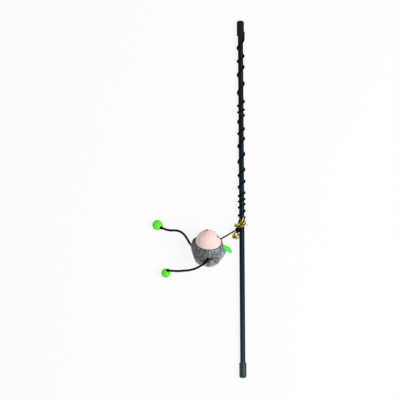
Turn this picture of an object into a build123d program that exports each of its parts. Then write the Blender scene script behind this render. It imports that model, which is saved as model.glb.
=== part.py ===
"""Cat teaser wand: a capped rod with a wound elastic cord that holds a bell and a stuffed mouse.

Millimetres. The rod lies along +Y with its handle end at the origin, +Z is up, and the wand
lies on a table at z = FLOOR, as seen from above. +X is to the right of the rod.
"""

from build123d import *
import math
import os

# Rod and its two soft end caps
ROD_LENGTH = 400.0
ROD_R = 3.0
ROD_CHAMFER = 0.5
CAP_LENGTH = 17.5
CAP_END = 3.0
CAP_WALL = 1.05
CAP_FIT = 0.05
CAP_ROUND = 2.6

# Elastic cord wound round the rod: one pitch for each turn, from the tip down
CORD_R = 0.75
WRAP_GAP = 0.1
WRAP_PITCHES = [18.5, 11.8, 19.1, 21.0, 8.9, 5.9, 15.9, 10.6, 17.8, 17.9, 13.2, 13.2, 7.0, 5.6, 7.7, 7.2]
WRAP_STEPS = 4
WRAP_RUN_IN = 2.0
WRAP_TOP_BEND_R = 5.0
WRAP_END_BEND_R = 3.0
WRAP_END_ANGLE = 150.0
BEND_STEPS = 3
LEAST_STEP = 0.1
CORD_TUCK = 4.0
CORD_FIT = 0.1
CAP_OVER_CORD = 0.35

# Gold twist tie round the rod and the end of the winding
TIE_BELOW_WRAP = 1.6
TIE_WIDTH = 2.4
TIE_THICKNESS = 0.4
TIE_GAP = 0.15
TIE_TWIST_LENGTH = 4.6
TIE_TWIST_X = -1.2
TIE_TWIST_DROP = 0.8
TIE_TWIST_TURN = 180.0
TIE_TWIST_STEPS = 4
TIE_LEFT_TAIL = (-5.4, 0.0, -1.2)
TIE_RIGHT_TAIL = (5.4, -0.9, -0.8)
TIE_LOOP = (3.4, 7.4, 1.3)

# Knot below the tie, with the bell hung from it by a small cord loop
KNOT_R = 2.7
KNOT_BELOW_TIE = 1.8
KNOT_GAP = 0.2
KNOT_ANGLE = 152.0
HANGER_R = 0.4
HANGER_LOOP_R = 1.0
EYE_RING_R = 1.2
EYE_WIRE_R = 0.3
EYE_SEAT = 0.4
BELL_R = 4.5
BELL_WALL = 0.4
BELL_GAP = 0.6
BELL_BELOW_KNOT = 0.4
BELL_ANGLE = 151.0
BELL_TILT = 73.0
BELL_SLITS = 2
BELL_SLIT = 1.1
BELL_SLIT_HOLE_R = 1.1
BELL_SLIT_REACH = 55.0
BELL_SLIT_TURN = 45.0
BELL_MOUTH_R = 1.3
PELLET_R = 1.7
PELLET_GAP = 0.2

# Stuffed mouse: a ball of a body with a cone of a face, lying nose up and back to the rod
MOUSE_ASIDE = 33.1
MOUSE_BELOW = 23.0
BODY_R = 19.4
BODY_FLAT = 0.5
BODY_WALL = 1.2
NOSE_LEAN = -3.0
NOSE_RISE = 39.0
BACK_ROLL = 115.0
SEAM_HEIGHT = 12.6
SEAM_THREAD_R = 0.4
SEAM_THREAD_FIT = 0.05
FACE_HEIGHT = 16.4
FACE_BELLY = 2.1
FACE_TIP_R = 1.9
FACE_WALL = 0.8
SOFT_GAP = 0.2
NOSE_R = 1.35
NOSE_SINK = 0.5
EYE_R = 1.35
EYE_SINK = 0.35
EYE_HEIGHT = 5.5
EYE_SPREAD = 22.0
EAR_SPREAD = 44.0
EAR_BEHIND_SEAM = 12.5
EAR_LEFT_LIFT = 20.0
EAR_RIGHT_LIFT = -4.0
EAR_LENGTH = 12.6
EAR_WIDTH = 9.0
EAR_ROOT = 4.4
EAR_THICKNESS = 1.4
EAR_BULGE = 5.7
JOINT_GAP = 0.3

# Lead from the knot to the nape, and the knots inside the cover that hold the cords
NAPE_BEHIND_SEAM = 1.0
NAPE_ROLL = -15.0
ANCHOR_R = 1.5

# Legs: cords with a knot and a pompom, as points beside the body's centre and over the table
LEG_R = 1.3
LEG_KNOT_R = 1.75
LEG_BEND_SHARE = 0.45
POMPOM_LIFT = 0.1
POMPOM_TO_KNOT = 0.4
LEG_LEFT_POLAR = 86.0
LEG_LEFT_ROLL = -118.5
LEG_LEFT_ROUTE = [
    (-6.3, -16.2, 35.1),
    (-11.4, -19.4, 28.1),
    (-16.6, -21.8, 18.1),
    (-22.0, -23.1, 8.1),
    (-28.7, -23.6, 5.4),
    (-36.0, -24.1, 8.8),
]
LEG_LEFT_KNOT = (-45.8, -23.1, 9.2)
POMPOM_LEFT_R = 5.1
POMPOM_LEFT_ANGLE = -130.0
LEG_RIGHT_POLAR = 108.0
LEG_RIGHT_ROLL = 114.0
LEG_RIGHT_ROUTE = [
    (-20.0, 5.4, 2.5),
    (-25.7, 16.0, 1.5),
    (-30.5, 20.6, 1.4),
    (-36.6, 22.5, 2.6),
    (-45.6, 22.1, 7.4),
]
LEG_RIGHT_KNOT = (-53.1, 25.4, 9.3)
POMPOM_RIGHT_R = 5.8
POMPOM_RIGHT_ANGLE = 144.0

# How closely the gap between the winding's turns is measured
GAP_POINTS = 60
GAP_TURNS = 3
ALMOST_STRAIGHT = 1e-6

# Places that follow from the sizes above
CAP_BORE_R = ROD_R + CAP_FIT
CAP_R = CAP_BORE_R + CAP_WALL
FLOOR = -CAP_R
OVERALL_LENGTH = ROD_LENGTH + 2 * CAP_END
TIP_MOUTH_Y = OVERALL_LENGTH - CAP_LENGTH
WRAP_R = ROD_R + WRAP_GAP + CORD_R


def polar(radius, degrees, y):
    """A point round the rod: 0 degrees is to the right, 90 is up."""
    turn = math.radians(degrees)
    return Vector(radius * math.cos(turn), y, radius * math.sin(turn))


def across(y):
    """The plane square to the rod at y: its own x and y are the world's X and Z, and it faces -Y."""
    return Plane((0, y, 0), x_dir=(1, 0, 0), z_dir=(0, -1, 0))


def along(start, end):
    """A plane at start that faces end."""
    return Plane(start, z_dir=(Vector(end) - Vector(start)).normalized())


def ball(centre, radius):
    return Location(centre) * Sphere(radius)


def rod_between(start, end, radius):
    """A round bar from start to end."""
    length = (Vector(end) - Vector(start)).length
    return extrude(along(start, end) * Circle(radius), length)


def floor_block():
    """What lies under the table's surface."""
    span = 2 * OVERALL_LENGTH
    depth = 2 * BODY_R
    return Location((0, 0, FLOOR - depth / 2)) * Box(span, span, depth)


def wrap_stations():
    """The winding's stations on the rod: turn, y, and the path's slant from the rod's own line."""
    girth = 2 * math.pi * WRAP_R
    turns = len(WRAP_PITCHES)
    stations = []
    y = TIP_MOUTH_Y - WRAP_RUN_IN
    slant = math.atan2(girth, WRAP_PITCHES[0])
    for i in range(BEND_STEPS + 1):
        lean = slant * i / BEND_STEPS
        turn = WRAP_TOP_BEND_R * (1 - math.cos(lean)) / girth
        stations.append((turn, y - WRAP_TOP_BEND_R * math.sin(lean), lean))
    turn, y, lean = stations[-1]
    last_slant = math.atan2(girth, WRAP_PITCHES[-1])
    last_bend = WRAP_END_BEND_R * (1 - math.cos(last_slant)) / girth
    end_turn = turns + WRAP_END_ANGLE / 360 - last_bend
    for i in range(1, math.ceil(end_turn * WRAP_STEPS)):
        there = i / WRAP_STEPS
        if there > turn + LEAST_STEP:
            pitch = WRAP_PITCHES[min(int(turn), turns - 1)]
            y -= (there - turn) * pitch
            turn = there
            next_pitch = WRAP_PITCHES[min(int(turn), turns - 1)]
            stations.append((turn, y, math.atan2(girth, (pitch + next_pitch) / 2)))
    y -= (end_turn - turn) * WRAP_PITCHES[-1]
    for i in range(BEND_STEPS + 1):
        lean = last_slant * (1 - i / BEND_STEPS)
        gone = WRAP_END_BEND_R * (math.cos(lean) - math.cos(last_slant)) / girth
        drop = WRAP_END_BEND_R * (math.sin(last_slant) - math.sin(lean))
        stations.append((end_turn + gone, y - drop, lean))
    return stations


WRAP_STATIONS = wrap_stations()
WRAP_END_Y = WRAP_STATIONS[-1][1]
TIE_Y = WRAP_END_Y - TIE_BELOW_WRAP - TIE_WIDTH / 2
KNOT_Y = TIE_Y - TIE_WIDTH / 2 - KNOT_BELOW_TIE - KNOT_R
KNOT = polar(ROD_R + KNOT_GAP + KNOT_R, KNOT_ANGLE, KNOT_Y)
EYE_STAND = 2 * EYE_RING_R + EYE_WIRE_R - EYE_SEAT
BELL_DROP = KNOT_R + BELL_BELOW_KNOT + BELL_R
# The bell leans on the rod just below the knot, with its slits turned up and its eye underneath
BELL_BESIDE = polar(ROD_R + BELL_GAP + BELL_R, BELL_ANGLE, KNOT_Y)
BELL_SIDE = (BELL_BESIDE - KNOT).length
BELL = BELL_BESIDE - Vector(0, math.sqrt(BELL_DROP**2 - BELL_SIDE**2), 0)
BELL_WAY = Vector(BELL.X - KNOT.X, BELL.Y - KNOT.Y, 0).normalized()
TILT = math.radians(BELL_TILT)
BELL_AXIS = BELL_WAY * math.cos(TILT) + Vector(0, 0, math.sin(TILT))
BELL_PIVOT = BELL - BELL_AXIS * (BELL_R + EYE_STAND)
BELL_HINGE = BELL_AXIS.cross(Vector(0, 0, 1)).normalized()
BELL_FRAME = Plane(BELL, x_dir=BELL_HINGE, z_dir=BELL_AXIS)
HANGER_WAY = (BELL_PIVOT - KNOT).normalized()
HANGER_LENGTH = (BELL_PIVOT - KNOT).length - KNOT_R / 2

LEAN = math.radians(NOSE_LEAN)
RISE = math.radians(NOSE_RISE)
NOSE_AXIS = Vector(
    math.sin(LEAN) * math.cos(RISE),
    math.cos(LEAN) * math.cos(RISE),
    math.sin(RISE),
)
MOUSE_SIDE = NOSE_AXIS.cross(Vector(0, 0, 1)).normalized()
MOUSE_NEAR = MOUSE_SIDE.cross(NOSE_AXIS)
ROLL = math.radians(BACK_ROLL)
MOUSE_BACK = MOUSE_SIDE * math.sin(ROLL) + MOUSE_NEAR * math.cos(ROLL)
BODY = Vector(KNOT.X - MOUSE_ASIDE, KNOT.Y - MOUSE_BELOW, FLOOR + BODY_R - BODY_FLAT)
# The mouse's own frame: x to its back, y to its right, z to its nose, from the ball's centre
MOUSE = Plane(BODY, x_dir=MOUSE_BACK, z_dir=NOSE_AXIS)
SEAM_R = math.sqrt(BODY_R**2 - SEAM_HEIGHT**2)
SEAM_POLAR = math.degrees(math.acos(SEAM_HEIGHT / BODY_R))
FACE_R = SEAM_R - 2 * SEAM_THREAD_R
EAR_POLAR = SEAM_POLAR + EAR_BEHIND_SEAM
NAPE_POLAR = SEAM_POLAR + NAPE_BEHIND_SEAM


def on_mouse(radius, polar_degrees, roll_degrees):
    """A point in the mouse's frame: polar angle from the nose, roll from the back to its right."""
    tilt = math.radians(polar_degrees)
    roll = math.radians(roll_degrees)
    return Vector(
        radius * math.sin(tilt) * math.cos(roll),
        radius * math.sin(tilt) * math.sin(roll),
        radius * math.cos(tilt),
    )


NAPE = MOUSE.from_local_coords(on_mouse(BODY_R + CORD_R + 2 * JOINT_GAP, NAPE_POLAR, NAPE_ROLL))


def beside_body(point):
    """The place of a point given beside the body's centre and over the table."""
    x, y, height = point
    return Vector(BODY.X + x, BODY.Y + y, FLOOR + height)


def biarc(start, leave, end, arrive):
    """Two arcs that leave start and reach end along the given directions."""
    span = end - start
    both = leave + arrive
    bend = 2 * (1 - leave.dot(arrive))
    reach = span.dot(both)
    if bend < ALMOST_STRAIGHT:
        step = span.dot(span) / (2 * reach)
    else:
        step = (math.sqrt(reach**2 + bend * span.dot(span)) - reach) / bend
    middle = (start + end + (leave - arrive) * step) / 2
    chord = (middle - start).normalized()
    turn = chord * (2 * chord.dot(leave)) - leave
    return [TangentArc(start, middle, tangent=leave), TangentArc(middle, end, tangent=turn)]


def wrap_path():
    """The winding's centre line, from under the tip cap to the middle of the knot."""
    points = []
    ways = []
    for turn, y, lean in WRAP_STATIONS:
        angle = 2 * math.pi * turn
        points.append(polar(WRAP_R, 360 * turn, y))
        round_rod = Vector(-math.sin(angle), 0, math.cos(angle))
        ways.append(round_rod * math.sin(lean) + Vector(0, -math.cos(lean), 0))
    top = polar(WRAP_R, 0, TIP_MOUTH_Y + CORD_TUCK)
    last = points[-1]
    tie_end = Vector(last.X, TIE_Y - TIE_WIDTH / 2 - TIE_GAP, last.Z)
    into_knot = (KNOT - tie_end).normalized()
    knot_entry = KNOT - into_knot * 2 * CORD_R
    edges = [Line(top, points[0])]
    for i in range(len(points) - 1):
        edges += biarc(points[i], ways[i], points[i + 1], ways[i + 1])
    edges.append(Line(last, tie_end))
    edges += biarc(tie_end, ways[-1], knot_entry, into_knot)
    edges.append(Line(knot_entry, KNOT))
    return Wire(edges)


def least_gap(path, radius):
    """The least gap between a tube's turns, measured on points of its centre line."""
    count = GAP_POINTS * len(WRAP_PITCHES)
    points = [path @ (i / count) for i in range(count + 1)]
    half_turn = GAP_POINTS // 2
    gaps = [
        (points[i] - points[j]).length
        for i in range(len(points))
        for j in range(i + half_turn, min(i + GAP_TURNS * GAP_POINTS, len(points)))
    ]
    return min(gaps) - 2 * radius


def tube(path, radius):
    """A round tube along a path."""
    start = Plane(path @ 0, z_dir=path % 0)
    return sweep(start * Circle(radius), path=path)


def volume_ratio(cord, path, radius):
    """A tube's volume over its section times its length."""
    return round(cord.volume / (path.length * math.pi * radius**2), 4)


def rod():
    body = extrude(across(CAP_END + ROD_LENGTH) * Circle(ROD_R), ROD_LENGTH)
    return chamfer(body.edges().filter_by(GeomType.CIRCLE), ROD_CHAMFER)


def cap_blank(mouth_y, end_y):
    """A round-ended cap and its bore for the rod; it closes towards end_y."""
    way = math.copysign(1, end_y - mouth_y)
    mouth = Plane((0, mouth_y, 0), x_dir=(1, 0, 0), z_dir=(0, way, 0))
    outer = extrude(mouth * Circle(CAP_R), CAP_LENGTH)
    closed = outer.edges().filter_by(GeomType.CIRCLE).sort_by(Axis.Y)[-1 if way > 0 else 0]
    outer = fillet(closed, CAP_ROUND)
    return outer, extrude(mouth * Circle(CAP_BORE_R), CAP_LENGTH - CAP_END)


def handle_cap():
    outer, bore = cap_blank(CAP_LENGTH, 0)
    return outer - bore


def tip_cap():
    """The tip's cap swells over the cord's end, which is tucked under its mouth."""
    outer, bore = cap_blank(TIP_MOUTH_Y, OVERALL_LENGTH)
    mouth = polar(WRAP_R, 0, TIP_MOUTH_Y)
    end = polar(WRAP_R, 0, TIP_MOUTH_Y + CORD_TUCK + CORD_FIT)
    swell_r = CORD_R + CAP_OVER_CORD
    swell = rod_between(mouth, end, swell_r) + ball(end, swell_r)
    return outer + swell - bore - rod_between(mouth, end, CORD_R + CORD_FIT)


def cord_winding():
    """The winding, flat underneath where the wand lies on it."""
    path = wrap_path()
    cord = tube(path, CORD_R)
    print("winding gap", round(least_gap(path, CORD_R), 2))
    print("winding volume ratio", volume_ratio(cord, path, CORD_R))
    return cord - floor_block()


def tie_outline(spread):
    """The outline round the rod and the cord beside it, at a distance from both."""
    beside = polar(WRAP_R, WRAP_END_ANGLE, 0)
    rim = Circle(ROD_R + spread).edges()
    cord_rim = (Location((beside.X, beside.Z)) * Circle(CORD_R + spread)).edges()
    return make_hull(rim + cord_rim)


def strip(start, reach, thickness):
    """A flat strip of the tie from start, as far as reach says, lying face up."""
    run = Vector(*reach)
    side = Vector(0, 0, 1).cross(run)
    flat = Plane(start, x_dir=run, z_dir=run.cross(side))
    body = Box(run.length, TIE_WIDTH, thickness, align=(Align.MIN, Align.CENTER, Align.CENTER))
    return flat * body


def twist_tie():
    """A band round the rod, its two ends twisted together in front, two tails and a loop."""
    top = TIE_Y + TIE_WIDTH / 2
    ring = tie_outline(TIE_GAP + TIE_THICKNESS) - tie_outline(TIE_GAP)
    band = extrude(across(top) * ring, TIE_WIDTH)
    front = ROD_R + TIE_GAP + TIE_WIDTH / 2
    middle = Vector(TIE_TWIST_X, TIE_Y - TIE_TWIST_DROP, front)
    left = middle - Vector(TIE_TWIST_LENGTH / 2, 0, 0)
    right = middle + Vector(TIE_TWIST_LENGTH / 2, 0, 0)
    flat = Rectangle(TIE_WIDTH, 2 * TIE_THICKNESS)
    sections = []
    for i in range(TIE_TWIST_STEPS + 1):
        share = i / TIE_TWIST_STEPS
        turned = Plane(left + (right - left) * share, x_dir=(0, 1, 0), z_dir=(1, 0, 0))
        sections.append(turned * (Rotation(0, 0, TIE_TWIST_TURN * share) * flat))
    twist = loft(sections, ruled=True)
    tails = strip(left, TIE_LEFT_TAIL, TIE_THICKNESS)
    tails += strip(right, TIE_RIGHT_TAIL, TIE_THICKNESS)
    tails += strip(middle, TIE_LOOP, 2 * TIE_THICKNESS)
    return band + twist + tails


def cord_knot():
    return ball(KNOT, KNOT_R)


def bell_hanger():
    """A loop of cord from the knot, round the wire of the bell's eye and back to the knot."""
    aside = BELL_HINGE.cross(HANGER_WAY) * HANGER_LOOP_R
    back = HANGER_WAY * HANGER_LENGTH
    far = BELL_PIVOT + HANGER_WAY * HANGER_LOOP_R
    loop = Wire(
        [
            Line(BELL_PIVOT + aside - back, BELL_PIVOT + aside),
            TangentArc(BELL_PIVOT + aside, far, tangent=HANGER_WAY),
            TangentArc(far, BELL_PIVOT - aside, tangent=aside * -1),
            Line(BELL_PIVOT - aside, BELL_PIVOT - aside - back),
        ]
    )
    return tube(loop, HANGER_R)


def bell_shell():
    """A hollow ball with a mouth in its far end and crossing slits, each slit ending in round holes."""
    reach = math.radians(BELL_SLIT_REACH)
    low = BELL_R * math.cos(reach)
    on_end = (Align.CENTER, Align.CENTER, Align.MIN)
    slit = Box(2 * BELL_R * math.sin(reach), BELL_SLIT, BELL_R - low, align=on_end)
    hole = Rotation(0, 90, 0) * Cylinder(BELL_SLIT_HOLE_R, 2 * BELL_R)
    mouth = Cylinder(BELL_MOUTH_R, BELL_R, align=on_end)
    shell = Sphere(BELL_R) - Sphere(BELL_R - BELL_WALL) - mouth
    for i in range(BELL_SLITS):
        turned = Rotation(0, 0, BELL_SLIT_TURN + 180 * i / BELL_SLITS) * Location((0, 0, low))
        shell -= turned * slit
        shell -= turned * hole
    return BELL_FRAME * shell


def bell_eye():
    """A wire ring seated in the bell's crown, next to the knot."""
    ring = Rotation(90, 0, 0) * Torus(EYE_RING_R, EYE_WIRE_R)
    return BELL_FRAME * (Location((0, 0, -(BELL_R + EYE_STAND - EYE_RING_R))) * ring)


def bell_pellet():
    """A loose ball at the bottom of the bell."""
    drop = BELL_R - BELL_WALL - PELLET_R - PELLET_GAP
    return ball(BELL - Vector(0, 0, drop), PELLET_R)


def body_solid(inset):
    """The mouse's round body up to the seam, drawn in all round by inset."""
    width = 2 * BODY_R
    over_seam = Location((0, 0, SEAM_HEIGHT + width / 2)) * Box(width, width, width)
    return Sphere(BODY_R - inset) - over_seam


def face_solid(inset):
    """The cone of the face over the seam, full in the flank and round at the tip."""
    foot = Vector(FACE_R - inset, SEAM_HEIGHT)
    tip_r = FACE_TIP_R - inset / 2
    top = Vector(0, SEAM_HEIGHT + FACE_HEIGHT - inset)
    shoulder = Vector(tip_r, top.Y - tip_r / 2)
    flank = shoulder - foot
    out = Vector(flank.Y, -flank.X).normalized() * FACE_BELLY
    middle = (foot + shoulder) / 2 + out
    outline = Wire(
        [
            Line((0, SEAM_HEIGHT), foot),
            ThreePointArc(foot, middle, shoulder),
            TangentArc(top, shoulder, tangent=(1, 0)),
            Line(top, (0, SEAM_HEIGHT)),
        ]
    )
    return revolve(Plane.XZ * make_face(outline), Axis.Z)


def body_cover():
    """The grey cover, open at the seam and flat where the mouse lies on the table."""
    cover = MOUSE * (body_solid(0) - body_solid(BODY_WALL))
    return cover - floor_block()


def face_cover():
    return MOUSE * (face_solid(0) - face_solid(FACE_WALL))


def anchor(polar_degrees, roll_degrees, radius):
    """A knot, or the pocket round it, against the inside of the cover."""
    depth = BODY_WALL + SOFT_GAP + ANCHOR_R
    centre = MOUSE.from_local_coords(on_mouse(BODY_R - depth, polar_degrees, roll_degrees))
    return ball(centre, radius)


def stuffing():
    """The filling of body and face, with a pocket round each anchor knot."""
    fill = MOUSE * (body_solid(BODY_WALL + SOFT_GAP) + face_solid(FACE_WALL + SOFT_GAP))
    fill -= anchor(NAPE_POLAR, NAPE_ROLL, ANCHOR_R + SOFT_GAP)
    fill -= anchor(LEG_LEFT_POLAR, LEG_LEFT_ROLL, ANCHOR_R + SOFT_GAP)
    fill -= anchor(LEG_RIGHT_POLAR, LEG_RIGHT_ROLL, ANCHOR_R + SOFT_GAP)
    return fill


def seam_thread():
    """The thread that lies in the step between face and body."""
    stand = SEAM_THREAD_R + SEAM_THREAD_FIT
    ring = Torus(FACE_R + stand, SEAM_THREAD_R)
    return MOUSE * (Location((0, 0, SEAM_HEIGHT + stand)) * ring)


def nose():
    tip = Location((0, 0, SEAM_HEIGHT + FACE_HEIGHT - NOSE_SINK)) * Sphere(NOSE_R)
    return MOUSE * (tip - face_solid(0))


def eye(side):
    """A bead on the face; side is -1 for the left eye and 1 for the right one."""
    level = Plane((0, 0, SEAM_HEIGHT + EYE_HEIGHT))
    face = face_solid(0)
    out = section(face, section_by=level).bounding_box().max.X - EYE_SINK
    turn = math.radians(side * EYE_SPREAD)
    place = (out * math.cos(turn), out * math.sin(turn), SEAM_HEIGHT + EYE_HEIGHT)
    return MOUSE * (Location(place) * Sphere(EYE_R) - face)


def ear_plane(side):
    """The ear's plane at its root: x across the ear, y along it, z out of the body. The right ear,
    which the mouse lies on, is pressed to the body."""
    stand = BODY_R + JOINT_GAP + EAR_THICKNESS / 2
    root = on_mouse(stand, EAR_POLAR, side * EAR_SPREAD)
    back = on_mouse(stand, EAR_POLAR + 90, side * EAR_SPREAD)
    lift = math.radians(EAR_LEFT_LIFT if side < 0 else EAR_RIGHT_LIFT)
    flat = Plane(root, x_dir=back.cross(root), z_dir=root * math.cos(lift) - back * math.sin(lift))
    return MOUSE.location * flat.location


def ear(side):
    """A felt leaf that lies back over the body from its sewn root."""
    half_root = EAR_ROOT / 2
    half = EAR_WIDTH / 2
    leaf = Wire(
        [
            Line((-half_root, 0), (half_root, 0)),
            ThreePointArc((half_root, 0), (half, EAR_BULGE), (0, EAR_LENGTH)),
            ThreePointArc((0, EAR_LENGTH), (-half, EAR_BULGE), (-half_root, 0)),
        ]
    )
    felt = extrude(make_face(leaf), EAR_THICKNESS / 2, both=True)
    return ear_plane(side) * felt


def cord_lead():
    """The tight cord from the knot to the nape, round-ended where the mouse hangs from it."""
    way = (NAPE - KNOT).normalized()
    start = KNOT + way * (KNOT_R + JOINT_GAP)
    return rod_between(start, NAPE, CORD_R) + ball(NAPE, CORD_R)


def leg_seat(polar_degrees, roll_degrees):
    """The centre of a leg's round end, just clear of the body."""
    stand = BODY_R + JOINT_GAP + LEG_R
    return MOUSE.from_local_coords(on_mouse(stand, polar_degrees, roll_degrees))


def leg_cord(seat, route, knot):
    """A leg's limp cord, from its seat on the body to its knot."""
    middle = [beside_body(point) for point in route]
    knot_centre = beside_body(knot)
    back = (middle[-1] - knot_centre).normalized()
    points = [seat, *middle, knot_centre + back * (LEG_KNOT_R + JOINT_GAP)]
    radii = []
    for before, here, after in zip(points, points[1:], points[2:]):
        turn = math.radians((here - before).get_angle(after - here))
        shorter = min((here - before).length, (after - here).length)
        radii.append(LEG_BEND_SHARE * shorter / math.tan(turn / 2))
    path = FilletPolyline(*points, radius=radii)
    cord = tube(path, LEG_R)
    print("leg radii", [round(r, 1) for r in radii])
    print("leg volume ratio", volume_ratio(cord, path, LEG_R))
    return cord + ball(seat, LEG_R)


def leg_knot(knot):
    return ball(beside_body(knot), LEG_KNOT_R)


def pompom(knot, radius, angle):
    """A ball of yarn that lies on the table and is tied to its knot, which sits in its upper side."""
    tied = beside_body(knot)
    turn = math.radians(angle)
    height = FLOOR + radius + POMPOM_LIFT
    reach = math.sqrt((radius + POMPOM_TO_KNOT) ** 2 - (tied.Z - height) ** 2)
    centre = (tied.X + reach * math.cos(turn), tied.Y + reach * math.sin(turn), height)
    return ball(centre, radius) - ball(tied, LEG_KNOT_R + SOFT_GAP / 2)


def nodes():
    seat_left = leg_seat(LEG_LEFT_POLAR, LEG_LEFT_ROLL)
    seat_right = leg_seat(LEG_RIGHT_POLAR, LEG_RIGHT_ROLL)
    return {
        "rod": rod(),
        "tip_cap": tip_cap(),
        "handle_cap": handle_cap(),
        "cord_winding": cord_winding(),
        "twist_tie": twist_tie(),
        "cord_knot": cord_knot(),
        "bell_hanger": bell_hanger(),
        "bell_shell": bell_shell(),
        "bell_eye": bell_eye(),
        "bell_pellet": bell_pellet(),
        "cord_lead": cord_lead(),
        "body_cover": body_cover(),
        "face_cover": face_cover(),
        "stuffing": stuffing(),
        "seam_thread": seam_thread(),
        "nose": nose(),
        "eye_left": eye(-1),
        "eye_right": eye(1),
        "ear_left": ear(-1),
        "ear_right": ear(1),
        "lead_anchor": anchor(NAPE_POLAR, NAPE_ROLL, ANCHOR_R),
        "leg_left_anchor": anchor(LEG_LEFT_POLAR, LEG_LEFT_ROLL, ANCHOR_R),
        "leg_right_anchor": anchor(LEG_RIGHT_POLAR, LEG_RIGHT_ROLL, ANCHOR_R),
        "leg_left_cord": leg_cord(seat_left, LEG_LEFT_ROUTE, LEG_LEFT_KNOT),
        "leg_left_knot": leg_knot(LEG_LEFT_KNOT),
        "pompom_left": pompom(LEG_LEFT_KNOT, POMPOM_LEFT_R, POMPOM_LEFT_ANGLE),
        "leg_right_cord": leg_cord(seat_right, LEG_RIGHT_ROUTE, LEG_RIGHT_KNOT),
        "leg_right_knot": leg_knot(LEG_RIGHT_KNOT),
        "pompom_right": pompom(LEG_RIGHT_KNOT, POMPOM_RIGHT_R, POMPOM_RIGHT_ANGLE),
    }


os.makedirs("parts", exist_ok=True)
for name, shape in nodes().items():
    export_step(shape, f"parts/{name}.step")
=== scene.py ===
"""Cat teaser wand: looks for the capped rod, the wound elastic, the bell and the stuffed mouse.

Shapes are worked out in millimetres in the part's own frame and put into meshes in metres. The mouse has a
frame of its own: the ball's centre, with axes to its back, its right and its nose.
"""

import math

import bpy
import numpy as np
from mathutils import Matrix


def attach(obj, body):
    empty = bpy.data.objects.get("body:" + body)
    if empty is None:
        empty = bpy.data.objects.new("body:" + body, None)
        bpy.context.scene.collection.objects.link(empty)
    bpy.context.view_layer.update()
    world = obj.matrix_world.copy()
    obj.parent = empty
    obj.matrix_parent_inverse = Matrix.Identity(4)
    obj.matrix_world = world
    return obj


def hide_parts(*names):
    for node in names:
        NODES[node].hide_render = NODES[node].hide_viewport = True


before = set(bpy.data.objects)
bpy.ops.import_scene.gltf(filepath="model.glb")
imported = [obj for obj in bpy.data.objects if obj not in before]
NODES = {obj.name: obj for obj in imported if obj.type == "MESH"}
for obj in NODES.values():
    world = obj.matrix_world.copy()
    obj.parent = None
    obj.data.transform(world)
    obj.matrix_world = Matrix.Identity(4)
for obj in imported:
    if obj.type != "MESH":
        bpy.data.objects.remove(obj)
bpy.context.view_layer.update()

MM = 0.001
UP = np.array([0.0, 0.0, 1.0])
FLOOR = -4.1
PRESSED = FLOOR + 0.02

# Rod and winding; the cord's places by the cap are from its mouth, those under the tie from the handle's end
ROD_LENGTH, ROD_R = 400.0, 3.0
TIP_MOUTH_Y = 388.5
CORD_R = 0.75
ELASTIC_R = 0.85
WRAP_R = 3.85
WRAP_START = TIP_MOUTH_Y - 4.47
PITCHES = [18.5, 11.8, 19.1, 21.0, 8.9, 5.9, 15.9, 10.6, 17.8, 17.9, 13.2, 13.2, 7.0, 5.6, 7.7, 7.2]
WRAP_TURNS = len(PITCHES)
WRAP_END_TURN = WRAP_TURNS + 150 / 360
WRAP_END_ANGLE = 2 * np.pi * WRAP_END_TURN
CORD_BESIDE = np.array([WRAP_R * math.cos(WRAP_END_ANGLE), 0, WRAP_R * math.sin(WRAP_END_ANGLE)])
POINTS_A_TURN = 16
DIP, DIP_TURN, DIP_WIDTH = 1.9, 15.55, 0.28
BY_CAP = (4, 1, -2, -3.6)
UNDER_TIE = (178.6, 177.2, 175.4, 173.4)

# Tie, knot, lead and bell
TIE_Y, TIE_FRONT = 174.69, 4.35
BAND_GAP, BAND_LEAN = 0.33, 0.35
TWIST_LENGTH, TWIST_TURNS = 6.2, 1.7
KNOT = np.array([-5.209, 168.992, 2.77])
KNOT_ENTRY = (0.7, 1.9, -0.3)
KNOT_MIDDLE = (0.55, -0.6, 0)
KNOT_SIZE, KNOT_CORD_R = 2.95, 1.0
KNOT_WAYS = np.array([(-1.2, -0.15, 0.1), (0.25, -1.2, 0.2), (0, 0.1, 1.0)])
LEAD_IN_KNOT, LEAD_IN_STUB = 0.6, 0.3
BELL_EYE = np.array([-6.588, 163.644, -2.576])
BELL_HINGE = np.array([-0.968, 0.25, 0.0])
LOOP_R, LOOP_SHORT = 0.4, 1.2

# Mouse: ball, face and seam, with the tilt of its axes
BODY = np.array([-38.309, 145.992, 14.8])
BODY_R = 19.4
SEAM_HEIGHT = 12.6
SEAM_POLAR = math.degrees(math.acos(SEAM_HEIGHT / BODY_R))
SEAM_SAG, SAG_ROLL, SAG_WIDTH = 6.5, -50.0, 55.0
FACE_R, FACE_HEIGHT, FACE_ARCH = 13.95, 16.4, 2.1
SNOUT_R, SNOUT_RISE = 1.9, 0.95
PUCKER, OVAL, CHEEK_BACK, CHEEK_CHIN = 0.008, 0.006, 0.45, 0.9
EYE_HEIGHT, EYE_SPREAD = 5.5, 22.0
SOCKET_DEPTH, SOCKET_WIDE, SOCKET_HIGH = 0.95, 0.95, 1.9
NOSE_HALF = np.array([1.2, 1.45, 0.95])
NOSE_LEAN, NOSE_RISE, BACK_ROLL = np.radians([-3.0, 39.0, 115.0])
TAIL_POLAR = 178.5
UNDER_HEM = 0.6
RIM_TUCK = ((0.985, 0.05), (0.96, 0.5), (0.9, 1.2))
NAPE_POLAR, NAPE_ROLL = SEAM_POLAR + 1.0, -15.0
NAPE_OUT = CORD_R + 0.6
STUB_R, STUB_INSIDE = 0.95, 0.8
STITCHES, STITCH_R, STITCH_REACH = 60, 0.17, 1.35

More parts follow.
